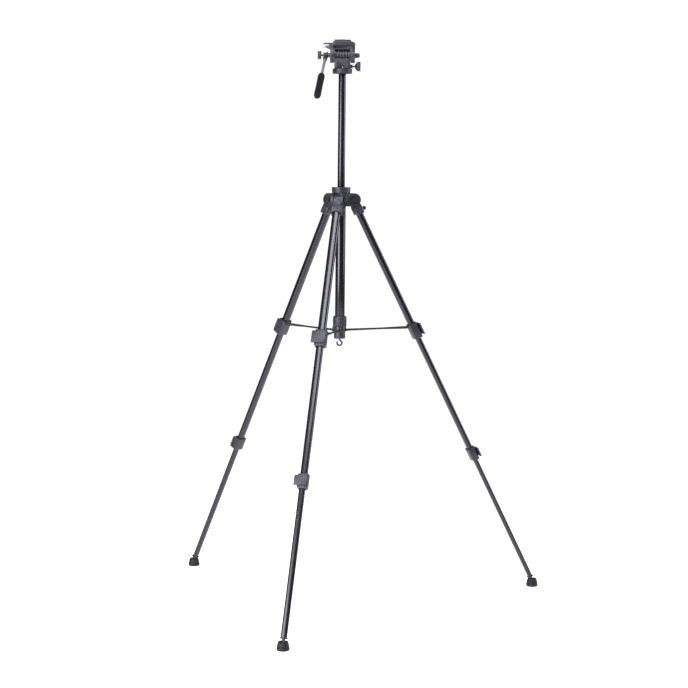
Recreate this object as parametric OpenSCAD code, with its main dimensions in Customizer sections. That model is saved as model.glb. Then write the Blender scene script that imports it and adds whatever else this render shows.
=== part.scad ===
// Three-section video tripod with a mid-level spreader, a sliding centre column
// and a fluid pan and tilt head. Millimetres, +Z up.
// Origin: on the floor, on the centre column's axis. The pan handle points to -Y.

/* [Overall] */
// Height of the camera plate's top face above the floor, column raised
overall_h = 1800; // [1450:1:2160]
// Height of the leg pivots above the floor
pivot_z = 1295; // [1100:1:1500]
// Lean of each leg from vertical when the spreader is fully open, in degrees
leg_angle = 26.9; // [22:0.1:30]
// Turn of the leg set round the column, in degrees
leg_turn = 13; // [0:1:60]

/* [Crown] */
// Distance of the leg pivots from the column axis
pivot_r = 40; // [37:0.5:50]
// Radius of the round shoulder on each crown arm
shoulder_r = 21; // [19:0.5:24]
// Thickness of each crown ear
ear_t = 6; // [5:0.5:8]
// Width of the leg casting's tongue between two ears
tongue_w = 25; // [21:0.5:30]
// Radius of the leg pivot bolt
pivot_bolt_r = 3; // [2.5:0.25:4]
// Height of the column lock ring
lock_ring_h = 18.5; // [16:0.5:24]
// Radius of the column lock ring
lock_ring_r = 30; // [27:0.5:36]

/* [Column and sleeve] */
// Diameter of the centre column tube
column_d = 23.5; // [20:0.5:25]
// Length of column left in the crown when it is fully raised
column_seat = 32; // [24:1:40]
// Outer diameter of the fixed sleeve below the crown
sleeve_d = 31; // [30:0.5:34]
// Wall of the column tube
column_wall = 1.5; // [1:0.25:2]
// Wall of the sleeve
sleeve_wall = 3; // [2:0.25:3]
// Height of the end cap's lower face above the floor
cap_z = 850; // [800:1:860]
// Height of the end cap
cap_h = 20; // [18:0.5:30]
// Outer diameter of the end cap
cap_d = 36; // [35.5:0.5:44]

/* [Spreader] */
// Height of the spreader hub ring
hub_h = 18; // [16:0.5:26]
// Distance of the brace pins from the sleeve's outer face
hub_pin_out = 6.5; // [6.5:0.5:12.5]
// Height of the ribbed lock ring above the hub
rib_ring_h = 33; // [26:1:40]
// Outer diameter of the ribbed lock ring
rib_ring_d = 44; // [41:0.5:50]
// Sideways offset of the braces from each leg's centre plane
brace_side = 6; // [5:0.5:8]
// Thickness of the brace strap
strap_t = 2.4; // [2:0.2:2.8]
// Depth of the brace strap
strap_h = 5.5; // [5:0.5:7]
// Length of the fork that the strap runs into
fork_len = 76; // [74:1:90]
// Thickness of each fork cheek
cheek_t = 1.2; // [1:0.1:1.6]

/* [Leg tubes] */
// Width of the upper leg tube across the leg
upper_w = 26; // [24:0.5:28]
// Depth of the upper leg tube, inner face to outer face
upper_d = 21.6; // [20:0.2:24]
// Wall of every leg tube
tube_wall = 1.2; // [1:0.1:1.3]
// Gap between one leg tube and the next one inside it
tube_gap = 0.4; // [0.3:0.1:0.6]
// Distance down the leg from the pivot to the upper collar's top
upper_collar_s = 449; // [400:1:470]
// Distance down the leg from the pivot to the lower collar's top
lower_collar_s = 915; // [880:1:940]
// Length of the middle and lower tubes
section_len = 494; // [480:1:500]

/* [Leg locks] */
// Length of the upper lock collar
upper_collar_len = 54; // [48:1:60]
// Length of the lower lock collar
lower_collar_len = 46; // [42:1:52]
// Wall of the lock collars round the tube
collar_wall = 3.2; // [2.8:0.2:3.6]
// Thickness of the flip lever's plate
lever_t = 4; // [3:0.2:5]
// Reach of the flip lever's plate past the collar's edge
lever_overhang = 8; // [4:0.5:10]

/* [Feet] */
// Diameter of the rubber foot at the floor
foot_d = 39; // [34:0.5:46]
// Height of the rubber foot
foot_h = 27; // [26:0.5:30]
// Radius of the ankle ball
ball_r = 7.5; // [6.5:0.25:8.5]

/* [Head] */
// Diameter of the pan base disc
pan_d = 62; // [58:0.5:70]
// Height of the pan base disc
pan_h = 15.5; // [14:0.5:18]
// Height of the whole head from pan base to plate top
head_h = 106; // [104:0.5:108]
// Width of the pan body between the cheeks
body_w = 51; // [48:0.5:52]
// Height of the tilt axis above the pan base's lower face
tilt_z = 57.5; // [57:0.5:58.5]
// Thickness of each cradle cheek
cheek_w = 13; // [11:0.5:14]
// Width of the quick release plate
plate_w = 53.6; // [50:0.2:56]
// Depth of the quick release plate, front to back
plate_l = 44; // [38:0.5:52]
// Length of camera screw above the plate
screw_up = 5; // [4.5:0.5:6]

/* [Handle] */
// Length of the pan handle from the tilt axis to the grip's end
handle_len = 224; // [180:1:300]
// Length of the foam grip
grip_len = 118; // [100:1:140]
// Diameter of the foam grip
grip_d = 22; // [20:0.5:26]
// Diameter of the handle rod
rod_d = 9; // [8:0.5:10]
// Droop of the handle below horizontal, in degrees
handle_droop = 38; // [30:1:50]
// Turn of the handle outwards from the head's front, in degrees
handle_yaw = 8; // [0:1:12]

/* [Hidden] */
$fn = 64;
black_plastic = "#2b2a31";
black_metal = "#16171c";
black_rubber = "#1b1b1d";
steel = "#b9b9bc";
rod_grey = "#77757f";

// Named clearances
running = 0.06;
side_gap = 0.5;
seat_gap = 0.1;
shadow_gap = 0.8;
eps = 0.01;

// Directions of the three legs round the column
front_az = -90 - leg_turn;
right_az = front_az + 120;
left_az = front_az - 120;

// Crown
ear_in = tongue_w / 2 + side_gap;
ear_out = ear_in + ear_t;
core_r = 21.5;
crown_low = pivot_z - shoulder_r;
crown_high = pivot_z + shoulder_r;
tongue_r = shoulder_r - 5;
spigot_r = 16;
spigot_h = 12;
sleeve_seat = 15;
ring_z = crown_high + side_gap;
column_low = crown_high - column_seat;
crown_web_t = shoulder_r - tongue_r - 1;
ear_pocket = 0.6 * ear_t;
ear_pocket_r = shoulder_r - 5.5;
ear_boss_r = 7.5;

// Sleeve, cap and spreader
sleeve_low = cap_z + 5;
hub_z = cap_z + cap_h + side_gap;
hub_pin_z = hub_z + 6.5;
hub_r = sleeve_d / 2 + 2.5;
hub_pin_r = sleeve_d / 2 + hub_pin_out;
neck_r = sleeve_d / 2 + 1.8;
neck_h = 12;
rib_ring_z = hub_z + hub_h + side_gap;
strap_gap = 0.4;
hub_ear_t = 2.5;
brace_pin_r = 1.5;
brace_end_r = 4.2;

// Lug on each upper collar, in the leg's own frame
lug_s = upper_collar_s + 5;
lug_y = -(upper_d / 2 + collar_wall + 5);
lug_r = pivot_r + lug_s * sin(leg_angle) + lug_y * cos(leg_angle);
lug_z = pivot_z - lug_s * cos(leg_angle) + lug_y * sin(leg_angle);
brace_len = norm([lug_r - hub_pin_r, lug_z - hub_pin_z]);
brace_rise = atan2(lug_z - hub_pin_z, lug_r - hub_pin_r);
lap_len = 9;
strap_len = brace_len - fork_len + lap_len;

// Ballast hook
hook_wire_r = 2.2;
hook_joint_r = 2.3;
hook_bend_r = 7.8;
hook_knee_z = -5;
hook_bowl_z = -14.8;
hook_start = 30;
hook_sweep = 225;

// Leg sections
tube_step = 2 * (tube_wall + tube_gap);
tube_corner = 8;
casting_len = 50;
casting_w = 2 * ear_out;
tube_top_s = shoulder_r + 6;
ankle_h = foot_h - 7;
ankle_s = (pivot_z - ankle_h) / cos(leg_angle);
tube_end_s = ankle_s - 17.5;
upper_end_s = upper_collar_s + upper_collar_len - 14;
middle_end_s = lower_collar_s + lower_collar_len - 12;

// Flip levers
lever_inset = 4;
knuckle_r = 3.4;
lever_pin_r = 1.6;
lever_gap = 4;
knuckle_h = 3;
hinge_side = 1;
hinge_out = 2;

// Head
head_z = overall_h - head_h;
column_len = head_z + 8 - column_low;
drum_r = 20.5;
trunnion_r = 6;
cheek_r = 24;
cheek_in = body_w / 2 + 1;
deck_z = head_h - 18;
deck_t = 12.5;
deck_top = deck_z + deck_t;
deck_l = 66;
bridge_l = 20;
bridge_low = tilt_z + drum_r + 0.7;
body_l = 52;
body_top = tilt_z - 11;
screw_r = 3.17;
screw_neck_r = 2.6;
handle_x = -53;
lever_x = -38.5;

// ------------------------------------------------------------------ frames

// A leg's direction: +Y points outwards along the floor
module at_azimuth(az) {
  rotate([0, 0, az - 90]) children();
}

// A leg's own frame: origin on its pivot, -Z down the leg, +Y its outer face
module at_leg(az) {
  at_azimuth(az) translate([0, pivot_r, pivot_z]) rotate([leg_angle, 0, 0]) children();
}

// The head's frame: origin on the pan base's lower face
module at_head() {
  translate([0, 0, head_z]) children();
}

// The tilt axis: +Z of the child runs along +X of the head
module on_tilt_axis(x) {
  at_head() translate([x, 0, tilt_z]) rotate([0, 90, 0]) children();
}

// The handle: +Z of the child runs along the rod, away from the head
module on_handle() {
  at_head() translate([handle_x, 0, tilt_z])
    rotate([0, 0, -handle_yaw]) rotate([90 + handle_droop, 0, 0]) children();
}

// ------------------------------------------------------------------ outlines

module rounded_rect(w, d, r) {
  square([w - 2 * r, d], center = true);
  square([w, d - 2 * r], center = true);
  for (sx = [-1, 1], sy = [-1, 1])
    translate([sx * (w / 2 - r), sy * (d / 2 - r)]) circle(r = r);
}

// A bar in the YZ plane of a leg, from the origin along +Y, thick along X
module link_plate(len, r0, r1, t) {
  rotate([90, 0, 90]) linear_extrude(t, center = true) {
    circle(r = r0);
    translate([len, 0]) circle(r = r1);
    polygon([[0, -r0], [len, -r1], [len, r1], [0, r0]]);
  }
}

module x_cylinder(r, x0, x1) {
  translate([x0, 0, 0]) rotate([0, 90, 0]) cylinder(r = r, h = x1 - x0);
}

// ------------------------------------------------------------------ crown group

// One arm: two ears with a round shoulder, joined by a web along the top
module crown_arm() {
  for (side = [-1, 1])
    translate([side * (ear_in + ear_t / 2), 0, 0]) rotate([90, 0, 90])
      linear_extrude(ear_t, center = true) {
        translate([pivot_r, pivot_z]) circle(r = shoulder_r);
        translate([8, crown_low]) square([pivot_r - 8, 2 * shoulder_r]);
      }
  translate([-ear_in, 8, crown_high - crown_web_t])
    cube([2 * ear_in, pivot_r - 12, crown_web_t]);
}

module crown() color(black_plastic) difference() {
  union() {
    translate([0, 0, crown_low]) cylinder(r = core_r, h = 2 * shoulder_r);
    translate([0, 0, crown_high - eps]) cylinder(r = spigot_r, h = spigot_h + eps);
    for (az = [front_az, right_az, left_az]) at_azimuth(az) crown_arm();
  }
  translate([0, 0, crown_low - 1])
    cylinder(r = column_d / 2 + running, h = 2 * shoulder_r + spigot_h + 2);
  translate([0, 0, crown_low - 1]) cylinder(r = sleeve_d / 2 + seat_gap, h = sleeve_seat + 1);
  for (az = [front_az, right_az, left_az]) at_azimuth(az) {
    translate([0, pivot_r, pivot_z]) x_cylinder(pivot_bolt_r + 0.2, -30, 30);
    // Pocket round the bolt's boss in the outer face of each ear
    for (side = [-1, 1]) translate([side * (ear_out - ear_pocket), pivot_r, pivot_z])
      rotate([0, 90 * side, 0]) difference() {
        cylinder(r = ear_pocket_r, h = ear_t);
        translate([0, 0, -1]) cylinder(r = ear_boss_r, h = ear_t + 2);
      }
    // Room for the casting's tongue between the ears
    translate([-ear_in, pivot_r - tongue_r - 1, crown_low - 1])
      cube([2 * ear_in, 60, 2 * shoulder_r - crown_web_t + 1]);
  }
}

module leg_pivot_bolts() color(steel)
  for (az = [front_az, right_az, left_az]) at_azimuth(az) translate([0, pivot_r, pivot_z]) {
    x_cylinder(pivot_bolt_r, -ear_out - 5, ear_out + 0.5);
    x_cylinder(5.2, ear_out, ear_out + 3);
    translate([-ear_out - 4.4, 0, 0]) rotate([0, 90, 0]) cylinder(r = 5.6, h = 4.4, $fn = 6);
  }

module column_lock_ring() color(black_plastic) difference() {
  union() {
    translate([0, 0, ring_z]) cylinder(r1 = lock_ring_r - 1, r2 = lock_ring_r, h = 3);
    translate([0, 0, ring_z + 3]) cylinder(r = lock_ring_r, h = lock_ring_h - 4);
    translate([0, 0, ring_z + lock_ring_h - 1])
      cylinder(r1 = lock_ring_r, r2 = lock_ring_r - 1, h = 1);
  }
  translate([0, 0, ring_z - 1]) cylinder(r = spigot_r + running, h = spigot_h + 2);
  translate([0, 0, ring_z - 1]) cylinder(r = column_d / 2 + 0.4, h = lock_ring_h + 2);
}

module sleeve() color(black_metal) translate([0, 0, sleeve_low]) difference() {
  cylinder(d = sleeve_d, h = crown_low + sleeve_seat - sleeve_low);
  translate([0, 0, -1])
    cylinder(d = sleeve_d - 2 * sleeve_wall, h = crown_low + sleeve_seat - sleeve_low + 2);
}

module end_cap() color(black_plastic) difference() {
  union() {
    translate([0, 0, cap_z]) cylinder(d1 = cap_d - 2, d2 = cap_d, h = 1);
    translate([0, 0, cap_z + 1]) cylinder(d = cap_d, h = cap_h - 1);
  }
  translate([0, 0, sleeve_low]) cylinder(r = sleeve_d / 2 + seat_gap, h = cap_h);
  translate([0, 0, cap_z - 1]) cylinder(r = hook_wire_r + running, h = cap_h);
  // Moulded window in the cap's side
  at_azimuth(left_az - 55) translate([-2, cap_d / 2 - 1.6, cap_z + 4]) cube([4, 3, 9]);
}

// Ballast hook: a shank with a head inside the cap, a bent arm and a bowl open to the left
module hook() color(black_metal) translate([0, 0, cap_z]) {
  arm_x = hook_bend_r * cos(hook_start);
  arm_z = hook_bowl_z + hook_bend_r * sin(hook_start);
  arm_len = norm([arm_x, arm_z - hook_knee_z]);
  translate([0, 0, hook_knee_z]) cylinder(r = hook_wire_r, h = 6 - hook_knee_z);
  translate([0, 0, 5.4]) cylinder(r = 5.5, h = 2.5);
  translate([0, 0, hook_knee_z]) sphere(r = hook_joint_r);
  translate([0, 0, hook_knee_z]) rotate([0, 180 - atan2(arm_x, hook_knee_z - arm_z), 0])
    cylinder(r = hook_wire_r, h = arm_len);
  translate([arm_x, 0, arm_z]) sphere(r = hook_joint_r);
  translate([0, 0, hook_bowl_z]) rotate([90, 0, 0]) rotate([0, 0, hook_start - hook_sweep])
    rotate_extrude(angle = hook_sweep) translate([hook_bend_r, 0]) circle(r = hook_wire_r);
  translate([hook_bend_r * cos(hook_start - hook_sweep), 0,
             hook_bowl_z + hook_bend_r * sin(hook_start - hook_sweep)]) sphere(r = hook_joint_r);
}

// ------------------------------------------------------------------ spreader

module brace_pin_place(az) {
  at_azimuth(az) translate([-brace_side, hub_pin_r, hub_pin_z]) children();
}

module spreader_hub() color(black_plastic) difference() {
  union() {
    translate([0, 0, hub_z]) cylinder(r = hub_r, h = hub_h);
    translate([0, 0, hub_z + hub_h - eps]) cylinder(r = neck_r, h = neck_h);
    for (az = [front_az, right_az, left_az], side = [-1, 1])
      brace_pin_place(az)
        translate([side * (strap_t / 2 + strap_gap + hub_ear_t / 2), 0, 0]) rotate([90, 0, 90])
          linear_extrude(hub_ear_t, center = true) {
            circle(r = 5);
            translate([-hub_pin_r + sleeve_d / 2 + 0.5, -5]) square([hub_pin_r - sleeve_d / 2, 16]);
          }
  }
  translate([0, 0, hub_z - 1]) cylinder(r = sleeve_d / 2 + running, h = hub_h + neck_h + 2);
  for (az = [front_az, right_az, left_az]) brace_pin_place(az) x_cylinder(brace_pin_r + seat_gap, -8, 8);
}

module spreader_pins() color(steel)
  for (az = [front_az, right_az, left_az]) brace_pin_place(az) {
    reach = strap_t / 2 + strap_gap + hub_ear_t;
    x_cylinder(brace_pin_r, -reach - 0.5, reach + 0.5);
    x_cylinder(2.6, reach, reach + 1);
    x_cylinder(2.6, -reach - 1, -reach);
  }

module spreader_lock_ring() color(black_plastic) difference() {
  union() {
    translate([0, 0, rib_ring_z]) cylinder(d = rib_ring_d - 1.6, h = rib_ring_h - 3);
    translate([0, 0, rib_ring_z + rib_ring_h - 3])
      cylinder(d1 = rib_ring_d - 1.6, d2 = rib_ring_d - 6, h = 3);
    for (k = [0 : 23]) rotate([0, 0, 15 * k]) translate([rib_ring_d / 2 - 1.5, -1.2, rib_ring_z + 2])
      cube([1.5, 2.4, rib_ring_h - 6]);
  }
  translate([0, 0, rib_ring_z - 1]) cylinder(r = sleeve_d / 2 + 0.3, h = rib_ring_h + 2);
  translate([0, 0, rib_ring_z - 1]) cylinder(r = neck_r + running, h = neck_h + 1);
}

// Flat strap from the hub pin outwards; it slides into the fork as the legs close
module brace_strap(az) color(black_metal)
  brace_pin_place(az) rotate([brace_rise, 0, 0]) difference() {
    link_plate(strap_len, 3.6, strap_h / 2, strap_t);
    x_cylinder(brace_pin_r + running, -strap_t, strap_t);
  }

// Two cheeks on the leg's lug with a bridge along their underside and a rivet
module brace_fork(az) color(black_metal)
  at_azimuth(az) translate([-brace_side, lug_r, lug_z]) rotate([brace_rise, 0, 0]) {
    inner = strap_t / 2 + strap_gap;
    for (side = [-1, 1]) translate([side * (inner + cheek_t / 2), 0, 0]) mirror([0, 1, 0])
      link_plate(fork_len, brace_end_r, 3, cheek_t);
    translate([-inner - eps, -14, -brace_end_r + 0.25]) cube([2 * inner + 2 * eps, 8, 1]);
    x_cylinder(brace_pin_r, -inner - cheek_t - 0.5, inner + cheek_t + 0.5);
    x_cylinder(3, inner + cheek_t - eps, inner + cheek_t + 1);
    x_cylinder(3, -inner - cheek_t - 1, -inner - cheek_t + eps);
  }

// ------------------------------------------------------------------ legs

// One tube of the leg, with its own step number: 0 upper, 1 middle, 2 lower
module tube_outline(step, grow) {
  rounded_rect(upper_w - step * tube_step + 2 * grow, upper_d - step * tube_step + 2 * grow,
               tube_corner - step * tube_step / 2 + grow);
}

module leg_tube(az, step, s0, s1) color(black_metal)
  at_leg(az) translate([0, 0, -s1]) linear_extrude(s1 - s0) difference() {
    tube_outline(step, 0);
    tube_outline(step, -tube_wall);
    // Two shallow grooves drawn along the outer face
    for (side = [-1, 1])
      translate([side * (upper_w - step * tube_step) * 0.27, (upper_d - step * tube_step) / 2 + 0.3])
        circle(r = 0.9);
  }

// Casting between the crown's ears, with a socket that holds the upper tube
module leg_casting(az, stud) color(black_plastic) at_leg(az) difference() {
  union() {
    x_cylinder(tongue_r, -tongue_w / 2, tongue_w / 2);
    translate([-tongue_w / 2, -13.5, -tube_top_s]) cube([tongue_w, 27, tube_top_s]);
    translate([0, 0, -casting_len]) linear_extrude(casting_len - shoulder_r - 2)
      rounded_rect(casting_w, 29, 6);
    if (stud) translate([0, 19, -38]) x_cylinder(4.6, 2, 10);
    if (stud) translate([0, 19, -38]) x_cylinder(6.2, 8, 14);
    if (stud) translate([2, 12, -42]) cube([7, 7, 8]);
  }
  x_cylinder(pivot_bolt_r + running, -tongue_w, tongue_w);
  translate([0, 0, -casting_len - 1]) linear_extrude(casting_len - tube_top_s + 1)
    tube_outline(0, seat_gap);
  // Hollow arch along the lower edge
  translate([0, 0, -casting_len - 22]) rotate([90, 0, 0]) cylinder(r = 26, h = 60, center = true);
}

// Lock collar moulded round the joint of two tubes; knuckles carry the flip lever
module leg_collar(az, step, s, len, lug) color(black_plastic) {
  w = upper_w - step * tube_step + 2 * collar_wall;
  d = upper_d - step * tube_step + 2 * collar_wall;
  at_leg(az) difference() {
    union() {
      translate([0, 0, -s - len]) linear_extrude(len) rounded_rect(w + 4, d, 5);
      for (z = [-s - lever_inset - knuckle_h, -s - len + lever_inset])
        translate([-w / 2 - hinge_side, 0, z]) lever_knuckle(d);
      if (lug) difference() {
        translate([-brace_side, lug_y, -lug_s]) union() {
          x_cylinder(brace_end_r - 0.4, -strap_t / 2, strap_t / 2);
          translate([-strap_t / 2, 0, -3]) cube([strap_t, 6, 6]);
        }
        translate([-brace_side, lug_y, -lug_s]) x_cylinder(brace_pin_r + running, -5, 5);
      }
    }
    translate([0, 0, -s - len - 1]) linear_extrude(len + 2) tube_outline(step, seat_gap);
    // Chamfered mouth round the lower end
    translate([0, 0, -s - len]) for (side = [-1, 1])
      translate([side * (w / 2 + 2), 0, 0]) rotate([0, 45, 0]) cube([6, d + 2, 6], center = true);
    translate([0, -d / 2, -s - len]) rotate([45, 0, 0]) cube([w + 10, 6, 6], center = true);
    // Pin holes of the knuckles, and the channel that the lever's barrel turns in
    translate([-w / 2 - hinge_side, d / 2 + hinge_out, -s - len])
      cylinder(r = lever_pin_r + running, h = len);
    translate([-w / 2 - hinge_side, d / 2 + hinge_out, -s - len + lever_inset + knuckle_h])
      cylinder(r = knuckle_r + 0.4, h = len - 2 * lever_inset - 2 * knuckle_h);
  }
}

// A knuckle on the hinge edge of a collar
module lever_knuckle(d) {
  translate([0, d / 2 + hinge_out, 0]) cylinder(r = knuckle_r, h = knuckle_h);
  translate([-1, d / 2 - 5, 0]) cube([knuckle_r + 1, 5 + hinge_out, knuckle_h]);
}

// Flip lever: a barrel on the hinge edge and a plate across the collar's outer face
module leg_lever(az, step, s, len) color(black_plastic) {
  w = upper_w - step * tube_step + 2 * collar_wall;
  d = upper_d - step * tube_step + 2 * collar_wall;
  hinge_x = -w / 2 - hinge_side;
  hinge_y = d / 2 + hinge_out;
  free_x = w / 2 + 2 + lever_overhang;
  low = s + len - lever_inset - knuckle_h - 0.4;
  h = len - 2 * lever_inset - 2 * knuckle_h - 0.8;
  at_leg(az) translate([0, 0, -low]) {
    linear_extrude(h) {
      translate([hinge_x, hinge_y]) circle(r = knuckle_r);
      translate([hinge_x, d / 2 + lever_gap]) square([free_x - hinge_x - 2, lever_t]);
      translate([free_x - 2, d / 2 + lever_gap + lever_t / 2]) circle(r = lever_t / 2);
    }
    translate([hinge_x, hinge_y, -knuckle_h]) cylinder(r = lever_pin_r, h = h + 2 * knuckle_h);
  }
}

// Plug in the lower tube's end, a thin flange, a neck and the ankle ball
module leg_ankle(az) color(black_plastic) at_leg(az) {
  translate([0, 0, -tube_end_s]) linear_extrude(14)
    tube_outline(2, -tube_wall - seat_gap);
  translate([0, 0, -tube_end_s - 2.6]) linear_extrude(2.6) tube_outline(2, 2);
  translate([0, 0, -ankle_s]) cylinder(r = 4.5, h = ankle_s - tube_end_s - 2);
  translate([0, 0, -ankle_s]) sphere(r = ball_r);
}

foot_top_r = 14.2;
foot_mouth_r = 12.2;

// Rubber foot: a blunt cone with a flared mouth and a spherical seat for the ball
module leg_foot(az) color(black_rubber)
  at_azimuth(az) translate([0, pivot_r + ankle_s * sin(leg_angle), 0]) difference() {
    rotate_extrude() polygon([
      [0, 0], [foot_d / 2 - 4, 0], [foot_d / 2 - 0.8, 2.2], [foot_d / 2, 5],
      [foot_d / 2 - 1.2, 14], [foot_top_r + 1, foot_h - 2], [foot_top_r, foot_h], [0, foot_h]]);
    translate([0, 0, ankle_h]) sphere(r = ball_r + running);
    translate([0, 0, ankle_h]) cylinder(r1 = ball_r + running, r2 = foot_mouth_r, h = 7.01);
  }

// ------------------------------------------------------------------ column and head

module centre_column() color(black_metal) translate([0, 0, column_low]) difference() {
  cylinder(d = column_d, h = column_len);
  translate([0, 0, -1]) cylinder(d = column_d - 2 * column_wall, h = column_len + 2);
}

module pan_base() color(black_plastic) at_head() difference() {
  union() {
    cylinder(d1 = pan_d - 2, d2 = pan_d, h = 1);
    translate([0, 0, 1]) cylinder(d = pan_d, h = pan_h - 2);
    translate([0, 0, pan_h - 1]) cylinder(d1 = pan_d, d2 = pan_d - 2, h = 1);
    translate([0, 0, pan_h - eps]) cylinder(r = 6, h = 12);
  }
  translate([0, 0, -1]) cylinder(r = column_d / 2 + seat_gap, h = 9 + seat_gap);
}

// Lower housing of the head; it turns on the pan base and carries the tilt drum
module pan_body() color(black_plastic) at_head() difference() {
  union() {
    translate([0, 0, pan_h + shadow_gap]) linear_extrude(body_top - pan_h - shadow_gap)
      rounded_rect(body_w, body_l, 7);
    // Boss of the pan lock
    translate([0, 0, 22.9]) x_cylinder(6, body_w / 2 - 2, body_w / 2 + 7);
  }
  translate([0, 0, pan_h]) cylinder(r = 6 + running, h = 13);
  translate([0, 0, tilt_z]) x_cylinder(drum_r + 0.4, -body_w, body_w);
  // Arched recess along the front cover's lower edge
  translate([0, -body_l / 2 + 2.6, 10]) rotate([90, 0, 0]) cylinder(r = 16.5, h = 5);
  translate([0, 0, 22.9]) x_cylinder(2.5 + running, body_w / 2 - 6, body_w);
}

drum_core_r = 17.5;
fin_pitch = 9;
fin_t = 2.6;
rub_t = 0.6;

// Drag drum with six cooling-style fins between the cradle's cheeks
module tilt_drum() color(black_plastic) difference() {
  union() {
    on_tilt_axis(-body_w / 2) cylinder(r = drum_core_r, h = body_w);
    for (k = [-2.5 : 1 : 2.5]) on_tilt_axis(k * fin_pitch - fin_t / 2) cylinder(r = drum_r, h = fin_t);
    // Smooth rear half, without fins
    intersection() {
      on_tilt_axis(-body_w / 2) cylinder(r = drum_r, h = body_w);
      at_head() translate([-body_w / 2, 2, tilt_z - drum_r]) cube([body_w, drum_r, 2 * drum_r]);
    }
    // Rubbing faces that run beside the cheeks
    for (x = [-body_w / 2 - rub_t, body_w / 2 - fin_t])
      on_tilt_axis(x) cylinder(r = drum_r - 0.5, h = fin_t + rub_t);
  }
  on_tilt_axis(-body_w) cylinder(r = trunnion_r + running, h = 2 * body_w);
}

knob_z = 22.9;

// Pan lock: a thin stem and a knob that widens outwards, with six finger flats
module pan_lock_knob() color(black_plastic) at_head() translate([0, 0, knob_z]) {
  x_cylinder(2.5, body_w / 2 - 4, 42);
  difference() {
    union() {
      translate([39.5, 0, 0]) rotate([0, 90, 0]) cylinder(r1 = 5, r2 = 15.5, h = 8);
      x_cylinder(15.5, 47.5, 57.5);
    }
    for (k = [0 : 5]) rotate([60 * k, 0, 0]) translate([45, 0, 18.5])
      rotate([0, 90, 0]) cylinder(r = 6, h = 30, center = true);
  }
}

// Tilting cradle: a deck with a slot for the plate and two round cheeks
module tilt_cradle() color(black_plastic) difference() {
  union() {
    at_head() translate([3.5, 0, deck_z]) linear_extrude(deck_t) rounded_rect(73, deck_l, 9);
    at_head() translate([-33, -17, tilt_z + 20]) cube([6.5, 34, deck_z - tilt_z - 19]);
    at_head() translate([cheek_in, -22, tilt_z]) cube([cheek_w, 44, deck_z - tilt_z + 9]);
    at_head() translate([-cheek_in - cheek_w, -20, tilt_z]) cube([cheek_w, 40, 21]);
    at_head() translate([-cheek_in - 1, -bridge_l / 2, bridge_low])
      cube([2 * cheek_in + 2, bridge_l, deck_z - bridge_low + 1]);
    on_tilt_axis(cheek_in) cylinder(r = cheek_r, h = cheek_w);
    on_tilt_axis(-cheek_in - cheek_w) cylinder(r = cheek_r, h = cheek_w);
    // Trunnions that run in the drum, and the rosette stub for the handle
    on_tilt_axis(cheek_in - 11) cylinder(r = trunnion_r, h = 12);
    on_tilt_axis(-cheek_in - 1) cylinder(r = trunnion_r, h = 12);
    on_tilt_axis(-cheek_in - cheek_w - 5) cylinder(r = 7, h = 6);
    // Bracket of the safety pin
    at_head() translate([-33, 0, 0]) rotate([90, 0, 0]) linear_extrude(9, center = true)
      polygon([[1, 72], [-6, 74.5], [-20, 81.6], [-20, 88], [1, 88]]);
    // Boss of the plate lever
    at_head() translate([lever_x, 0, deck_z - 1]) cylinder(r = 5, h = 4.6);
    at_head() translate([lever_x, -5, deck_z - 1]) cube([7, 10, 4.6]);
  }
  // Slot for the quick release plate
  at_head() translate([-plate_w / 2 - 0.3, -plate_l / 2 - 0.3, head_h - 12])
    cube([plate_w + 0.6, plate_l + 0.6, 20]);
  // Sloping shoulders of the deck on both sides of the plate
  at_head() rotate([90, 0, 0]) linear_extrude(deck_l + 2, center = true) {
    polygon([[28, head_h], [28, deck_top], [40.5, deck_top - 5.5], [42, head_h]]);
    polygon([[-28, head_h], [-28, deck_top], [-33.5, deck_top - 6], [-35, head_h]]);
  }
  at_head() translate([0, 0, 84.6]) x_cylinder(1.6 + running, -60, -20);
  at_head() translate([lever_x, 0, deck_z - 1.5]) cylinder(r = 1.8 + running, h = 8);
  on_tilt_axis(cheek_in + cheek_w - 8) cylinder(r = 2.5 + running, h = 12);
  on_tilt_axis(-cheek_in - cheek_w - 6) cylinder(r = 3 + running, h = 8);
}

// Plate that screws to the camera, with chamfered flanks and a pad on top
module quick_plate() color(black_plastic) at_head() difference() {
  rotate([90, 0, 0]) linear_extrude(plate_l, center = true) polygon([
    [-plate_w / 2, head_h - 11.7], [plate_w / 2, head_h - 11.7], [plate_w / 2, head_h - 4],
    [plate_w / 2 - 2.4, head_h], [-plate_w / 2 + 2.4, head_h], [-plate_w / 2, head_h - 4]]);
  translate([0, 0, head_h - 12]) cylinder(r = screw_r + running, h = 20);
  translate([0, 0, head_h - 12]) cylinder(r = 8.5, h = 4.2);
}

// Captive camera screw: a head below the plate, a thinner neck and a thread above it
module camera_screw() color(steel) at_head() {
  translate([0, 0, head_h - 11.2]) cylinder(r = 8, h = 3);
  translate([0, 0, head_h - 9]) cylinder(r = screw_neck_r, h = 9 + eps);
  translate([0, 0, head_h]) cylinder(r = screw_r, h = screw_up - 0.6);
  translate([0, 0, head_h + screw_up - 0.6]) cylinder(r1 = screw_r, r2 = screw_r - 0.6, h = 0.6);
}

// Flat lever that frees the plate; it turns on a pin in the deck's side boss
module plate_lever() color(black_plastic) at_head() translate([lever_x, 0, deck_z + 4]) {
  cylinder(r = 4.6, h = 5);
  translate([-19, -3.4, 0]) cube([19, 6.8, 4.6]);
  translate([-19, 0, 0]) cylinder(r = 3.4, h = 4.6);
  translate([0, 0, -4.6]) cylinder(r = 1.8, h = 6);
}

// Spring pin beside the plate, with a small dark button on its end
module safety_pin() color(steel) at_head() translate([0, 0, 84.6]) {
  x_cylinder(1.6, -58, -30);
  x_cylinder(2.6, -62, -56.5);
}

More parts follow.
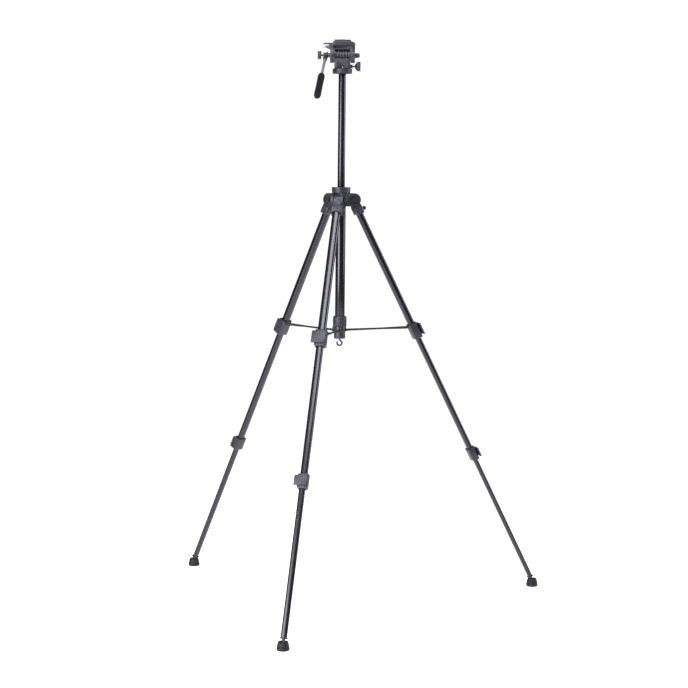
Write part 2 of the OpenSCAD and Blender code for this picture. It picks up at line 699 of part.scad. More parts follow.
module tilt_lock_knob() color(black_plastic) {
  on_tilt_axis(cheek_in + cheek_w + 0.5) cylinder(r1 = 8, r2 = 6.6, h = 13);
  on_tilt_axis(cheek_in + cheek_w + 13.5) cylinder(r1 = 6.6, r2 = 5, h = 1.6);
  on_tilt_axis(cheek_in + cheek_w - 7) cylinder(r = 2.5, h = 8);
}

// Clamp that holds the handle rod against the cradle's rosette
module handle_clamp() color(black_plastic) difference() {
  union() {
    on_tilt_axis(handle_x - 8) cylinder(r = 8.2, h = 16);
    on_handle() cylinder(r = 7, h = 24);
    at_head() translate([handle_x + 2, -2.5, tilt_z + 6]) cube([5, 5, 5.5]);
  }
  on_tilt_axis(handle_x - 12) cylinder(r = 3 + running, h = 30);
  on_handle() translate([0, 0, 10]) cylinder(r = rod_d / 2 + seat_gap, h = 40);
}

module handle_rod() color(rod_grey) on_handle() translate([0, 0, 10.2])
  cylinder(d = rod_d, h = handle_len - 30);

// Foam grip with rounded ends on the rod's far end
module handle_grip() color(black_rubber) on_handle() difference() {
  union() {
    translate([0, 0, handle_len - grip_len + 8]) cylinder(d = grip_d, h = grip_len - 17);
    translate([0, 0, handle_len - grip_len]) cylinder(d1 = grip_d - 8, d2 = grip_d, h = 8 + eps);
    translate([0, 0, handle_len - 9]) intersection() {
      sphere(d = grip_d);
      cylinder(d = grip_d, h = 9);
    }
  }
  cylinder(r = rod_d / 2 + seat_gap, h = handle_len - 19);
}

// Round clamp knob on the outside of the handle clamp
module handle_knob() color(black_plastic) {
  on_tilt_axis(handle_x - 14) cylinder(r = 3, h = 26);
  difference() {
    on_tilt_axis(handle_x - 26) cylinder(r = 12.7, h = 12);
    for (k = [0 : 7]) on_tilt_axis(handle_x - 27) rotate([0, 0, 45 * k])
      translate([14.6, 0, 0]) cylinder(r = 3, h = 14);
  }
}

// ------------------------------------------------------------------ nodes

crown();
leg_pivot_bolts();
column_lock_ring();
sleeve();
end_cap();
hook();
spreader_hub();
spreader_pins();
spreader_lock_ring();
centre_column();
pan_base();
pan_body();
tilt_drum();
pan_lock_knob();
tilt_cradle();
quick_plate();
camera_screw();
plate_lever();
safety_pin();
tilt_lock_knob();
handle_clamp();
handle_knob();
handle_rod();
handle_grip();
leg_casting(front_az, false);  // leg_front_casting
leg_tube(front_az, 0, tube_top_s, upper_end_s);  // leg_front_upper_tube
leg_collar(front_az, 0, upper_collar_s, upper_collar_len, true);  // leg_front_upper_collar
leg_lever(front_az, 0, upper_collar_s, upper_collar_len);  // leg_front_upper_lever
leg_tube(front_az, 1, middle_end_s - section_len, middle_end_s);  // leg_front_middle_tube
leg_collar(front_az, 1, lower_collar_s, lower_collar_len, false);  // leg_front_lower_collar
leg_lever(front_az, 1, lower_collar_s, lower_collar_len);  // leg_front_lower_lever
leg_tube(front_az, 2, tube_end_s - section_len, tube_end_s);  // leg_front_lower_tube
leg_ankle(front_az);  // leg_front_ankle
leg_foot(front_az);  // leg_front_foot
brace_strap(front_az);  // brace_front_strap
brace_fork(front_az);  // brace_front_fork
leg_casting(right_az, true);  // leg_right_casting
leg_tube(right_az, 0, tube_top_s, upper_end_s);  // leg_right_upper_tube
leg_collar(right_az, 0, upper_collar_s, upper_collar_len, true);  // leg_right_upper_collar
leg_lever(right_az, 0, upper_collar_s, upper_collar_len);  // leg_right_upper_lever
leg_tube(right_az, 1, middle_end_s - section_len, middle_end_s);  // leg_right_middle_tube
leg_collar(right_az, 1, lower_collar_s, lower_collar_len, false);  // leg_right_lower_collar
leg_lever(right_az, 1, lower_collar_s, lower_collar_len);  // leg_right_lower_lever
leg_tube(right_az, 2, tube_end_s - section_len, tube_end_s);  // leg_right_lower_tube
leg_ankle(right_az);  // leg_right_ankle
leg_foot(right_az);  // leg_right_foot
brace_strap(right_az);  // brace_right_strap
brace_fork(right_az);  // brace_right_fork
leg_casting(left_az, false);  // leg_left_casting
leg_tube(left_az, 0, tube_top_s, upper_end_s);  // leg_left_upper_tube
leg_collar(left_az, 0, upper_collar_s, upper_collar_len, true);  // leg_left_upper_collar
leg_lever(left_az, 0, upper_collar_s, upper_collar_len);  // leg_left_upper_lever
leg_tube(left_az, 1, middle_end_s - section_len, middle_end_s);  // leg_left_middle_tube
leg_collar(left_az, 1, lower_collar_s, lower_collar_len, false);  // leg_left_lower_collar
leg_lever(left_az, 1, lower_collar_s, lower_collar_len);  // leg_left_lower_lever
leg_tube(left_az, 2, tube_end_s - section_len, tube_end_s);  // leg_left_lower_tube
leg_ankle(left_az);  // leg_left_ankle
leg_foot(left_az);  // leg_left_foot
brace_strap(left_az);  // brace_left_strap
brace_fork(left_az);  // brace_left_fork
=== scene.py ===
import math

import bmesh
import bpy
from mathutils import Matrix, Vector


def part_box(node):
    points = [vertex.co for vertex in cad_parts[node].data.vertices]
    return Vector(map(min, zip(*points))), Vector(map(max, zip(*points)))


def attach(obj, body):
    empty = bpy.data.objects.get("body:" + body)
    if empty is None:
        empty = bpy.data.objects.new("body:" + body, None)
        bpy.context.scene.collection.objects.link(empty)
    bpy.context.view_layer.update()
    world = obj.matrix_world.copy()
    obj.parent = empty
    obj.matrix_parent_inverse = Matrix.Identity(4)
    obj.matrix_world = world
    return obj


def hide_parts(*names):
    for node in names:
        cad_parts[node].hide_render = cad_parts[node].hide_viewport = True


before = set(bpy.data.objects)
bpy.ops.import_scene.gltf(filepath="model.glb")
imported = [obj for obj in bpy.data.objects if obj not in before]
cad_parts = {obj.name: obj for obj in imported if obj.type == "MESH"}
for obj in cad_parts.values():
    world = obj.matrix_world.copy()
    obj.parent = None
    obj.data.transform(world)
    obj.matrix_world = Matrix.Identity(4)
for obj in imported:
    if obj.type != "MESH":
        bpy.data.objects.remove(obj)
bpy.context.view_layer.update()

# ---------------------------------------------------------------- the room
# A plain pale floor, a white room and three soft lamps: a broad one on the left, a weaker one on
# the right and one above. The camera stands six metres off, a little above the crown.

COOL_WHITE = (0.92, 0.92, 1.0)


def lamp(name, place, aim, size, watts):
    data = bpy.data.lights.new(name, "AREA")
    data.shape = "RECTANGLE"
    data.size, data.size_y = size
    data.energy = watts
    data.color = COOL_WHITE
    thing = bpy.data.objects.new(name, data)
    bpy.context.scene.collection.objects.link(thing)
    thing.location = place
    thing.rotation_euler = (Vector(aim) - Vector(place)).to_track_quat("-Z", "Y").to_euler()


lamp("key_lamp", (-3.0, -3.6, 1.7), (0, 0, 1.0), (2.8, 3.2), 300)
lamp("rim_lamp", (4.0, 0.8, 2.2), (0, 0, 1.0), (3.0, 3.0), 130)
lamp("top_lamp", (-0.4, -2.9, 4.5), (0, 0, 0.9), (3.0, 1.8), 190)

CAMERA_PLACE = (0, -5.978, 1.4064)
CAMERA_YAW, CAMERA_PITCH, CAMERA_ROLL = -0.14, -5.49, 0.62

camera_data = bpy.data.cameras.new("camera")
camera_data.lens = 97.6
camera_data.sensor_width = 36
camera = bpy.data.objects.new("camera", camera_data)
bpy.context.scene.collection.objects.link(camera)
camera.matrix_world = (
    Matrix.Translation(CAMERA_PLACE)
    @ Matrix.Rotation(math.radians(CAMERA_YAW), 4, "Z")
    @ Matrix.Rotation(math.radians(90 + CAMERA_PITCH), 4, "X")
    @ Matrix.Rotation(math.radians(CAMERA_ROLL), 4, "Z")
)
bpy.context.scene.camera = camera
bpy.context.scene.view_settings.view_transform = "Standard"


class Value:
    """What comes out of a node, so that sums and products of outputs read as such."""

    def __init__(self, finish, socket):
        self.finish, self.socket = finish, socket

    def maths(self, operation, other):
        return self.finish.node("ShaderNodeMath", {"operation": operation}, {0: self, 1: other})

    def __add__(self, other):
        return self.maths("ADD", other)

    def __mul__(self, other):
        return self.maths("MULTIPLY", other)


class Finish:
    """A surface finish: one Principled shader and the nodes that feed it."""

    def __init__(self, name, **fixed):
        self.material = bpy.data.materials.new(name)
        self.material.use_nodes = True
        self.tree = self.material.node_tree
        self.shader = self.tree.nodes["Principled BSDF"]
        for key, value in fixed.items():
            self.shader.inputs[key.replace("_", " ")].default_value = value
        self.place = self.node("ShaderNodeTexCoord", {}, {}, "Object")
        self.along = self.node("ShaderNodeAttribute", {"attribute_name": "along"}, {}, "Vector")

    def node(self, kind, settings, inputs, out=0):
        made = self.tree.nodes.new(kind)
        for key, value in settings.items():
            setattr(made, key, value)
        for key, value in inputs.items():
            self.feed(made.inputs[key], value)
        return Value(self, made.outputs[out])

    def feed(self, socket, value):
        if isinstance(value, Value):
            self.tree.links.new(value.socket, socket)
        else:
            socket.default_value = value

    def noise(self, scale, detail=3.0, where=None):
        inputs = {"Vector": where or self.place, "Scale": scale, "Detail": detail}
        return self.node("ShaderNodeTexNoise", {}, inputs)

    def scaled(self, where, scale):
        return self.node("ShaderNodeMapping", {}, {"Vector": where, "Scale": scale})

    def between(self, low, high, amount):
        inputs = {0: amount, 6: (*low, 1), 7: (*high, 1)}
        return self.node("ShaderNodeMix", {"data_type": "RGBA"}, inputs, 2)

    def surface(self, colour, roughness):
        self.feed(self.shader.inputs["Base Color"], colour)
        self.feed(self.shader.inputs["Roughness"], roughness)

    def bump(self, height, distance, strength=1.0):
        inputs = {"Height": height, "Distance": distance, "Strength": strength}
        normal = self.node("ShaderNodeBump", {}, inputs, "Normal")
        self.feed(self.shader.inputs["Normal"], normal)


paint = Finish(
    "pale_floor",
    Specular_IOR_Level=0.1,
    Emission_Color=(1, 1, 1, 1),
    Emission_Strength=0.8,
)
paint.surface(
    paint.between((0.86, 0.86, 0.86), (0.9, 0.9, 0.9), paint.noise(2)),
    paint.noise(8) * 0.2 + 0.7,
)
FLOOR_R = 3.2
bpy.ops.mesh.primitive_circle_add(vertices=96, radius=FLOOR_R, fill_type="NGON")
floor = bpy.context.object
floor.name = "floor"
floor.data.materials.append(paint.material)

# The camera sees a white room, while the pieces get only a dim, even light from it.
DIM, WHITE = 0.12, 1.05

room = bpy.data.worlds.new("room")
bpy.context.scene.world = room
room.use_nodes = True
backdrop = room.node_tree.nodes["Background"]
backdrop.inputs["Color"].default_value = (1, 1, 1, 1)
seen = room.node_tree.nodes.new("ShaderNodeLightPath")
level = room.node_tree.nodes.new("ShaderNodeMapRange")
level.inputs["To Min"].default_value = DIM
level.inputs["To Max"].default_value = WHITE
room.node_tree.links.new(seen.outputs["Is Camera Ray"], level.inputs["Value"])
room.node_tree.links.new(level.outputs["Result"], backdrop.inputs["Strength"])

# ---------------------------------------------------------------- crown and leg castings
# The crown is one moulding in black glass-filled nylon. It holds the sleeve, guides the column
# and carries a casting for each leg between two ears. Mould-rounded edges, fine spark texture.

MM = 0.001
ROW = Matrix.Scale(MM, 4)
LEGS = {"front": -103, "right": 17, "left": 137}
LEAN = 26.9
PIVOT = Vector((0, 40, 1295))
WELD_GAP = 0.02
FLAT_ANGLE = 1.0


def leg_frame(leg):
    """A leg's own frame in millimetres: on its pivot, -Z down the leg, +Y its outer face."""
    turn = Matrix.Rotation(math.radians(LEGS[leg] - 90), 4, "Z")
    return ROW @ turn @ Matrix.Translation(PIVOT) @ Matrix.Rotation(math.radians(LEAN), 4, "X")


def alone(piece):
    """Selects one piece and nothing else."""
    if bpy.context.object and bpy.context.object.mode == "EDIT":
        bpy.ops.object.mode_set(mode="OBJECT")
    bpy.ops.object.select_all(action="DESELECT")
    piece.select_set(True)
    bpy.context.view_layer.objects.active = piece


def edit(piece, everything=True, mode="FACE"):
    """Opens a piece for editing, with all or none of it selected."""
    alone(piece)
    bpy.ops.object.mode_set(mode="EDIT")
    bpy.ops.mesh.select_mode(type=mode)
    bpy.ops.mesh.select_all(action="SELECT" if everything else "DESELECT")


def done():
    """Closes the piece that is open for editing."""
    bpy.ops.object.mode_set(mode="OBJECT")


def apply(piece, kind, **settings):
    """Puts one modifier on a piece and applies it."""
    alone(piece)
    made = piece.modifiers.new(kind.lower(), kind)
    for key, value in settings.items():
        setattr(made, key, value)
    bpy.ops.object.modifier_apply(modifier=made.name)


def smooth(piece, angle=38):
    """Smooths the curved faces of a piece and leaves its edges sharp."""
    alone(piece)
    bpy.ops.object.shade_smooth_by_angle(angle=math.radians(angle))


def soften(piece, width, segments=2, angle=32):
    """Rounds a piece's edges by a small radius and smooths its curved faces."""
    apply(
        piece,
        "BEVEL",
        width=width,
        segments=segments,
        limit_method="ANGLE",
        angle_limit=math.radians(angle),
    )
    smooth(piece)


def into(piece, matrix=Matrix.Identity(4)):
    """Writes the piece's own place and then a frame into its mesh."""
    bpy.context.view_layer.update()
    piece.data.transform(matrix @ piece.matrix_world)
    piece.matrix_world = Matrix.Identity(4)
    return piece


def from_frame(node, home=ROW):
    """A copy of a frame node's shape in its home frame, its loose triangles joined up."""
    piece = bpy.data.objects.new(node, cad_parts[node].data.copy())
    bpy.context.scene.collection.objects.link(piece)
    piece.data.materials.clear()
    into(piece, home.inverted())
    edit(piece)
    bpy.ops.mesh.remove_doubles(threshold=WELD_GAP)
    bpy.ops.mesh.dissolve_limited(angle_limit=math.radians(FLAT_ANGLE))
    done()
    return piece


def fit(piece, name, home, body, slot, finish, *nodes):
    """Sets a finished piece in place with its finish, body and the nodes it stands for; the slot is not
    used.
    """
    mesh = piece.data
    spots = mesh.attributes.new("along", "FLOAT_VECTOR", "POINT")
    for spot, corner in zip(spots.data, mesh.vertices):
        spot.vector = corner.co * MM
    into(piece, home)
    piece.name = name
    mesh.materials.clear()
    mesh.materials.append(finish.material)
    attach(piece, body)
    if nodes:
        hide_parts(*nodes)


def as_drawn(node, name, home, body, slot, finish, edge):
    """A piece with its frame node's own shape, only its edges rounded."""
    piece = from_frame(node, home)
    soften(piece, edge)
    fit(piece, name, home, body, slot, finish, node)


nylon = Finish("black_nylon", Specular_IOR_Level=0.45)
nylon_grain = nylon.noise(900)
nylon_cloud = nylon.noise(30, 2)
nylon.surface(
    nylon.between((0.017, 0.0165, 0.023), (0.028, 0.027, 0.036), nylon_cloud),
    nylon_cloud * 0.1 + nylon_grain * 0.06 + 0.34,
)
nylon.bump(nylon_grain, 0.00003, 0.1)

as_drawn("crown", "crown_moulding", ROW, "crown", "black_plastic", nylon, edge=0.8)

for leg in LEGS:
    home = leg_frame(leg)
    node = f"leg_{leg}_casting"
    as_drawn(node, f"casting_{leg}", home, f"leg_{leg}", "black_plastic", nylon, edge=0.8)

# ---------------------------------------------------------------- pivot bolts
# One steel bolt through each pair of ears, with a low round head on one side and a hexagon nut
# on the other. Plain turned stock, blackened.


def grained(finish, scale, dark, light, rough, depth, strength, detail=3.0):
    """One fine grain varies a finish's colour, its roughness and its relief."""
    grain = finish.noise(scale, detail)
    least, most = rough
    finish.surface(finish.between(dark, light, grain), grain * (most - least) + least)
    finish.bump(grain, depth, strength)


dark_steel = Finish("blackened_steel", Metallic=0.8)
grained(
    dark_steel,
    scale=900,
    dark=(0.03, 0.03, 0.034),
    light=(0.07, 0.07, 0.078),
    rough=(0.25, 0.5),
    depth=0.00003,
    strength=0.3,
)

as_drawn("leg_pivot_bolts", "pivot_bolts", ROW, "crown", "bright_steel", dark_steel, edge=0.5)

# ---------------------------------------------------------------- column lock ring
# A moulded twist ring on the crown's neck. Its skirt tapers to the bottom, a shallow groove
# runs round it, and it is bored for the column.

RING_Z = 1316.5
COLUMN_BORE_R = 12.2
NECK_BORE_R = 16.1
NECK_TOP = 12.1


def turned(rings, sides=72):
    """A solid turned about Z: a disc drawn up, ring by ring, and closed by its last ring."""
    radius, height = rings[0]
    bpy.ops.mesh.primitive_circle_add(vertices=sides, radius=radius, fill_type="NGON")
    piece = into(bpy.context.object, Matrix.Translation((0, 0, height)))
    edit(piece)
    for wide, high in rings[1:]:
        bpy.ops.mesh.extrude_region_move(TRANSFORM_OT_translate={"value": (0, 0, high - height)})
        scale = wide / radius
        bpy.ops.transform.resize(value=(scale, scale, 1), center_override=(0, 0, high))
        radius, height = wide, high
    bpy.ops.mesh.select_all(action="SELECT")
    bpy.ops.mesh.normals_make_consistent(inside=False)
    done()
    return piece


def rod(radius, start, end, sides=48):
    """A round bar between two points."""
    start, end = Vector(start), Vector(end)
    bpy.ops.mesh.primitive_cylinder_add(vertices=sides, radius=radius, depth=(end - start).length)
    piece = bpy.context.object
    turn = (end - start).to_track_quat("Z", "Y").to_matrix().to_4x4()
    piece.matrix_world = Matrix.Translation((start + end) / 2) @ turn
    return into(piece)


def cut(piece, tool):
    """Takes a tool's shape out of a piece; the tool is used up."""
    apply(piece, "BOOLEAN", operation="DIFFERENCE", object=tool, solver="EXACT")
    bpy.data.objects.remove(tool)


skirt = [(28.4, 0), (29.0, 0.5), (29.9, 11.4)]
groove = [(28.9, 11.5), (28.9, 12.4)]
brim = [(30, 12.5), (30, 17.9), (29.4, 18.5)]
ring = turned(skirt + groove + brim, sides=96)
cut(ring, rod(COLUMN_BORE_R, (0, 0, -1), (0, 0, 20), sides=96))
cut(ring, rod(NECK_BORE_R, (0, 0, -1), (0, 0, NECK_TOP), sides=96))
smooth(ring)
home = ROW @ Matrix.Translation((0, 0, RING_Z))
fit(ring, "column_twist_ring", home, "column_lock", "black_plastic", nylon, "column_lock_ring")

# ---------------------------------------------------------------- sleeve and centre column
# Two drawn aluminium tubes, black anodised: the sleeve is fixed in the crown and the column
# slides through both. Drawing leaves faint lines along them.

anodised = Finish(
    "black_anodised_tube",
    Specular_IOR_Level=0.6,
    Specular_Tint=(0.93, 0.93, 1.0, 1),
)
anodised_cloud = anodised.noise(6)
anodised_lines = anodised.noise(1, 2, anodised.scaled(anodised.along, (420, 420, 4)))
anodised.surface(
    anodised.between((0.0025, 0.0025, 0.004), (0.006, 0.006, 0.009), anodised_cloud),
    anodised_lines * 0.04 + 0.19,
)
anodised.bump(anodised_lines, 0.00001, 0.04)

for node, body in (("sleeve", "crown"), ("centre_column", "column")):
    as_drawn(node, node + "_tube", ROW, body, "black_aluminium", anodised, edge=0.4)

# ---------------------------------------------------------------- spreader ring, hub and cap
# The ribbed ring locks the hub to the sleeve, the hub carries three clevises for the braces,
# and the end cap closes the sleeve. All are black nylon but the three steel pins.

RIBBED_Z = 889
RIB_LOW, RIB_HIGH = 0.6, 29.5
RIB_DEPTH = 0.75
FACET = 3.75
SLEEVE_BORE_R = 15.8
HUB_BORE_R = 17.36


def pick(piece, test):
    """Selects the faces whose centres pass a test, in edit mode."""
    mesh = bmesh.from_edit_mesh(piece.data)
    for face in mesh.faces:
        face.select_set(test(face.calc_center_median()))
    bmesh.update_edit_mesh(piece.data)


def on_rib(at):
    """Two facets out of every four round the ring are ribs."""
    facet = round(math.degrees(math.atan2(at.y, at.x)) / FACET - 0.5)
    return RIB_LOW < at.z < RIB_HIGH and facet % 4 < 2


ribbed = turned([(20.6, 0), (21.2, RIB_LOW), (21.2, RIB_HIGH), (19.6, 33)], sides=96)
edit(ribbed, False)
pick(ribbed, on_rib)
bpy.ops.mesh.extrude_region_shrink_fatten(TRANSFORM_OT_shrink_fatten={"value": RIB_DEPTH})
done()
cut(ribbed, rod(SLEEVE_BORE_R, (0, 0, -1), (0, 0, 34)))
cut(ribbed, rod(HUB_BORE_R, (0, 0, -1), (0, 0, 12)))
soften(ribbed, 0.25)
home = ROW @ Matrix.Translation((0, 0, RIBBED_Z))
fit(
    ribbed,
    "spreader_ribbed_ring",
    home,
    "spreader_lock",
    "black_plastic",
    nylon,
    "spreader_lock_ring",
)

as_drawn("spreader_hub", "hub", ROW, "spreader", "black_plastic", nylon, edge=0.4)
as_drawn("spreader_pins", "hub_pins", ROW, "spreader", "bright_steel", dark_steel, edge=0.25)
as_drawn("end_cap", "sleeve_cap", ROW, "crown", "black_plastic", nylon, edge=0.5)

# ---------------------------------------------------------------- ballast hook
# One steel wire, bent to a bowl that opens to the left, with an upset head inside the cap. It
# is coated black and turns freely in the cap.

HOOK_Z = 850
WIRE_R = 2.7
BOWL_R = 7.8
BOWL_Z = -14.8

coated = Finish("black_coated_steel", Metallic=0.3)
grained(
    coated,
    scale=700,
    dark=(0.012, 0.012, 0.014),
    light=(0.034, 0.034, 0.038),
    rough=(0.28, 0.48),
    depth=0.00004,
    strength=0.4,
)


def weld(piece, other):
    """Joins another solid to a piece; the other is used up."""
    apply(piece, "BOOLEAN", operation="UNION", object=other, solver="EXACT")
    bpy.data.objects.remove(other)


hook_line = [(0, 6), (0, 0), (0, -3.4), (0.5, -4.9), (1.6, -6.3), (4.4, -8.8), (6.3, -10.5)]
for degrees in range(22, -196, -12):
    turn = math.radians(degrees)
    hook_line.append((BOWL_R * math.cos(turn), BOWL_Z + BOWL_R * math.sin(turn)))
bend = bpy.data.curves.new("hook", "CURVE")
bend.dimensions = "3D"
bend.bevel_depth = WIRE_R
bend.bevel_resolution = 6
bend.use_fill_caps = True
line = bend.splines.new("POLY")
line.points.add(len(hook_line) - 1)
for spot, (x, z) in zip(line.points, hook_line):
    spot.co = (x, 0, z, 1)
hook = bpy.data.objects.new("hook_wire", bend)
bpy.context.scene.collection.objects.link(hook)
alone(hook)
bpy.ops.object.convert(target="MESH")
hook = bpy.context.object
head = turned([(5.0, 5.4), (5.5, 6.0), (5.5, 7.4), (4.9, 7.9)], sides=32)
weld(hook, head)
# The wire's end is upset to a small ball.
tip = (-7.5, 0, -12.7)
bpy.ops.mesh.primitive_uv_sphere_add(segments=24, ring_count=12, radius=2.8, location=tip)
weld(hook, into(bpy.context.object))
smooth(hook, angle=40)
home = ROW @ Matrix.Translation((0, 0, HOOK_Z))
fit(hook, "ballast_hook", home, "hook", "black_steel", coated, "hook")

# ---------------------------------------------------------------- braces
# Each brace is a flat steel strap, pinned in the hub, that runs in a folded steel fork on the
# leg's collar. Both are coated black.

for leg in LEGS:
    for part in ("strap", "fork"):
        node = f"brace_{leg}_{part}"
        as_drawn(node, f"{part}_{leg}", ROW, node, "black_steel", coated, edge=0.25)

# ---------------------------------------------------------------- leg tubes
# Three extruded aluminium sections to each leg, flattened ovals with two fine grooves along
# the outer face, black anodised, one sliding in the next.

# Each section's width, its depth and the end of its body's name.
TUBES = {
    "upper": (26.0, 21.6, ""),
    "middle": (22.8, 18.4, "_middle"),
    "lower": (19.6, 15.2, "_lower"),
}
TUBE_WALL = 1.2
OVAL = 2.6
GROOVE_DEPTH = 0.4
GROOVE_HALF = 0.6
GROOVE_AT = 0.2


def oval_tube(width, depth, low, high):
    """An extruded tube of oval section; its outer face is at +Y and has two fine grooves."""
    bpy.ops.mesh.primitive_circle_add(vertices=168, radius=1, location=(0, 0, low))
    tube = into(bpy.context.object)
    for corner in tube.data.vertices:
        x, y = corner.co.xy
        x = width / 2 * math.copysign(abs(x) ** (2 / OVAL), x)
        y = depth / 2 * math.copysign(abs(y) ** (2 / OVAL), y)
        grooved = y > 0 and abs(abs(x) - GROOVE_AT * width) < GROOVE_HALF
        corner.co.xy = x, y - (GROOVE_DEPTH if grooved else 0)
    edit(tube, mode="EDGE")
    bpy.ops.mesh.extrude_region_move(TRANSFORM_OT_translate={"value": (0, 0, high - low)})
    bpy.ops.mesh.select_all(action="SELECT")
    bpy.ops.mesh.normals_make_consistent(inside=False)
    done()
    apply(tube, "SOLIDIFY", thickness=TUBE_WALL, offset=-1)
    smooth(tube, angle=30)
    return tube


for leg in LEGS:
    home = leg_frame(leg)
    for part, (width, depth, body) in TUBES.items():
        node = f"leg_{leg}_{part}_tube"
        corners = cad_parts[node].data.vertices
        heights = [(home.inverted() @ corner.co).z for corner in corners]
        tube = oval_tube(width, depth, min(heights), max(heights))
        name = f"{part}_tube_{leg}"
        fit(tube, name, home, f"leg_{leg}{body}", "black_aluminium", anodised, node)

# ---------------------------------------------------------------- lock collars and flip levers
# Each joint of two tubes is gripped by a nylon collar. A flip lever lies across the collar's
# outer face, hinged on a pin at one edge; the top corner of its free edge is cut off.

CORNER_CUT = (14, 20, 14)
CORNER_OUT = 1.9


def block(size, centre, turn=(0, 0, 0)):
    """A block of some size at some place, its place written into its mesh."""
    bpy.ops.mesh.primitive_cube_add(size=1, location=centre, scale=size, rotation=turn)
    return into(bpy.context.object)


for leg in LEGS:
    home = leg_frame(leg)
    for part, body in (("upper", ""), ("lower", "_middle")):
        node = f"leg_{leg}_{part}_collar"
        name = f"{part}_collar_{leg}"
        as_drawn(node, name, home, f"leg_{leg}{body}", "black_plastic", nylon, edge=0.5)
        node = f"leg_{leg}_{part}_lever"
        lever = from_frame(node, home)
        edge = max(corner.co.x for corner in lever.data.vertices)
        face = max(corner.co.y for corner in lever.data.vertices)
        top = max(corner.co.z for corner in lever.data.vertices)
        corner = (edge + CORNER_OUT, face, top + CORNER_OUT)
        cut(lever, block(CORNER_CUT, corner, (0, math.radians(45), 0)))
        edit(lever)
        bpy.ops.mesh.dissolve_limited(angle_limit=math.radians(FLAT_ANGLE))
        done()
        soften(lever, 0.9, segments=3)
        fit(lever, f"{part}_lever_{leg}", home, node, "black_plastic", nylon, node)

# ---------------------------------------------------------------- ankles and feet
# A nylon plug closes each lower tube and ends in a ball; the black rubber foot snaps over it.
# The foot flares to the floor, with a rounded rim and a fine groove round its waist.

SOCKET_R = 7.56
BALL_Z = 20

rubber = Finish("foot_rubber", Specular_IOR_Level=0.35)
grained(
    rubber,
    scale=500,
    dark=(0.003, 0.003, 0.0035),
    light=(0.008, 0.008, 0.009),
    rough=(0.5, 0.7),
    depth=0.0002,
    strength=0.5,
    detail=4,
)

for leg in LEGS:
    home = leg_frame(leg)
    node = f"leg_{leg}_ankle"
    as_drawn(node, f"ankle_{leg}", home, f"leg_{leg}_lower", "black_plastic", nylon, edge=0.4)
    node = f"leg_{leg}_foot"
    low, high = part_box(node)
    outside = [(13.0, 0), (17.0, 0.4), (18.7, 1.8), (19.4, 4.0), (19.5, 6.5), (19.2, 9.0)]
    outside += [(18.8, 10.6), (18.3, 10.9), (18.2, 11.5), (18.5, 11.9), (18.0, 15.0), (17.2, 18.6)]
    outside += [(16.4, 21.6), (15.4, 24.4), (14.2, 26.5)]
    inside = [(13.2, 27.0), (12.2, 26.5), (9.9, 23.5), (7.6, 20.2)]
    turns = [math.radians(angle) for angle in range(15, 90, 15)]
    bowl = [(SOCKET_R * math.cos(turn), BALL_Z - SOCKET_R * math.sin(turn)) for turn in turns]
    foot = turned(outside + inside + bowl, sides=64)
    soften(foot, 0.2, segments=1, angle=50)
    home = ROW @ Matrix.Translation((*((low + high) / 2 / MM).xy, 0))
    fit(foot, f"foot_{leg}", home, node, "rubber", rubber, node)

# ---------------------------------------------------------------- pan base and pan body
# The base disc screws to the column. The body turns on it: a moulded housing with an arched
# recess at its lower edge, a white index dot in the recess, and the ribbed drum on top.

HEAD = ROW @ Matrix.Translation((0, 0, 1694))
COLUMN_SEAT_R = 11.85
COLUMN_SEAT_TOP = 8.1
DOT_R = 1.3
DOT_X, DOT_Z = 0.5, 18.6
DOT_FRONT, DOT_BACK = -24.0, -23.0

disc = [(29.8, 0), (31, 1.2), (31, 5), (30.5, 5.4), (30.5, 6.2), (31, 6.6), (31, 14.3), (30, 15.5)]
spindle = [(6, 15.5), (6, 27.5)]
base = turned(disc + spindle, sides=96)
cut(base, rod(COLUMN_SEAT_R, (0, 0, -1), (0, 0, COLUMN_SEAT_TOP)))
soften(base, 0.3)
fit(base, "pan_disc", HEAD, "column", "black_plastic", nylon, "pan_base")

as_drawn("pan_body", "pan_housing", HEAD, "pan", "black_plastic", nylon, edge=0.6)

white = Finish("white_print")
white.surface(
    white.between((0.7, 0.7, 0.7), (0.8, 0.8, 0.8), white.noise(900)),
    white.noise(500) * 0.2 + 0.4,
)

dot = rod(DOT_R, (DOT_X, DOT_FRONT, DOT_Z), (DOT_X, DOT_BACK, DOT_Z), sides=24)
soften(dot, 0.2)
fit(dot, "index_dot", HEAD, "pan", "bright_steel", white)

as_drawn("tilt_drum", "drag_drum", HEAD, "pan", "black_plastic", nylon, edge=0.4)

# ---------------------------------------------------------------- tilting cradle
# A moulded cradle: a deck with the plate's slot, a cheek on each side of the drum, and a
# bracket on the left for the plate's lever and its safety pin. The plate's top is grooved.

as_drawn("tilt_cradle", "cradle", HEAD, "tilt", "black_plastic", nylon, edge=0.7)

PLATE_TOP = 106
PLATE_GROOVE = (47, 1.4, 1.2)
GROOVE_STEP = 4.6
MIDDLE_GAP = 1.2

plate = from_frame("quick_plate", HEAD)
for row in range(-4, 5):
    shift = MIDDLE_GAP if row >= 0 else -MIDDLE_GAP
    cut(plate, block(PLATE_GROOVE, (0, GROOVE_STEP * row + shift, PLATE_TOP)))
soften(plate, 0.4)
fit(plate, "camera_plate", HEAD, "tilt", "black_plastic", nylon, "quick_plate")

steel = Finish("zinc_plated_steel", Metallic=1.0)
grained(
    steel,
    scale=900,
    dark=(0.40, 0.40, 0.42),
    light=(0.62, 0.62, 0.64),
    rough=(0.2, 0.45),
    depth=0.00003,
    strength=0.3,
)

as_drawn("camera_screw", "camera_thread", HEAD, "screw", "bright_steel", steel, edge=0.2)
as_drawn("plate_lever", "plate_release", HEAD, "plate_lever", "black_plastic", nylon, edge=0.4)
as_drawn("safety_pin", "plate_safety_pin", HEAD, "safety_pin", "bright_steel", steel, edge=0.3)

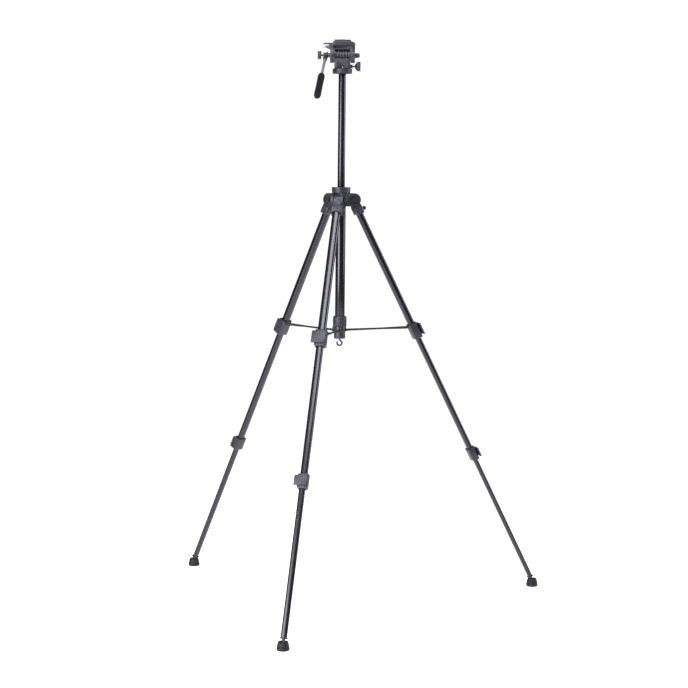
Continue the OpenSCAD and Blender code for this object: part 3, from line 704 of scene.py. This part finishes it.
# ---------------------------------------------------------------- lock knobs
# Three moulded knobs with their stems: a stub on the tilt axis, a fluted cone for the pan lock
# and a fluted disc that clamps the handle.

for node, name, body in (
    ("tilt_lock_knob", "tilt_knob", "tilt_knob"),
    ("pan_lock_knob", "pan_knob", "pan_knob"),
    ("handle_knob", "handle_clamp_knob", "handle_knob"),
):
    as_drawn(node, name, HEAD, body, "black_plastic", nylon, edge=0.6)

# ---------------------------------------------------------------- pan handle
# A nylon clamp on the tilt axis holds a grey anodised rod, and a closed-cell foam sleeve with
# rounded ends is pushed over the rod's far end.

# The handle's own frame: on the tilt axis, +Z out along the rod.
TILT_Z = 57.5
HANDLE_X = -53
HANDLE_YAW, HANDLE_DROOP = -8, 128
HANDLE = (
    HEAD
    @ Matrix.Translation((HANDLE_X, 0, TILT_Z))
    @ Matrix.Rotation(math.radians(HANDLE_YAW), 4, "Z")
    @ Matrix.Rotation(math.radians(HANDLE_DROOP), 4, "X")
)
GRIP_BORE_R = 4.6

as_drawn("handle_clamp", "rod_clamp", HEAD, "handle", "black_plastic", nylon, edge=0.5)

grey = Finish("grey_anodised_rod", Metallic=0.55)
grey_lines = grey.noise(1, 3, grey.scaled(grey.along, (700, 700, 30)))
grey.surface(
    grey.between((0.30, 0.29, 0.35), (0.40, 0.39, 0.46), grey_lines),
    grey_lines * 0.2 + 0.25,
)
bar = turned([(4.2, 10.2), (4.5, 10.6), (4.5, 203.6), (4.1, 204.2)], sides=40)
soften(bar, 0.15)
fit(bar, "pan_rod", HANDLE, "handle", "grey_aluminium", grey, "handle_rod")

foam = Finish("grip_foam", Specular_IOR_Level=0.25)
cells = foam.node("ShaderNodeTexVoronoi", {}, {"Vector": foam.along, "Scale": 1100.0})
foam.surface(
    foam.between((0.0022, 0.0022, 0.003), (0.007, 0.007, 0.009), cells * 0.7 + foam.noise(60, 2) * 0.3),
    cells * 0.2 + 0.72,
)
foam.bump(cells, 0.0004, 0.6)
profile = [(4.7, 107.4), (6.6, 106.2), (8.6, 107.2), (10.0, 109.6), (10.8, 113), (11.0, 118)]
profile += [(10.9, 130), (10.6, 150), (10.5, 170), (10.7, 190), (11.0, 206), (10.9, 213)]
profile += [(10.2, 218), (8.6, 221.6), (6.0, 223.6), (2.5, 224.0)]
grip = turned(profile, sides=48)
cut(grip, rod(GRIP_BORE_R, (0, 0, 100), (0, 0, 205)))
smooth(grip, angle=40)
fit(grip, "foam_grip", HANDLE, "handle", "foam", foam, "handle_grip")
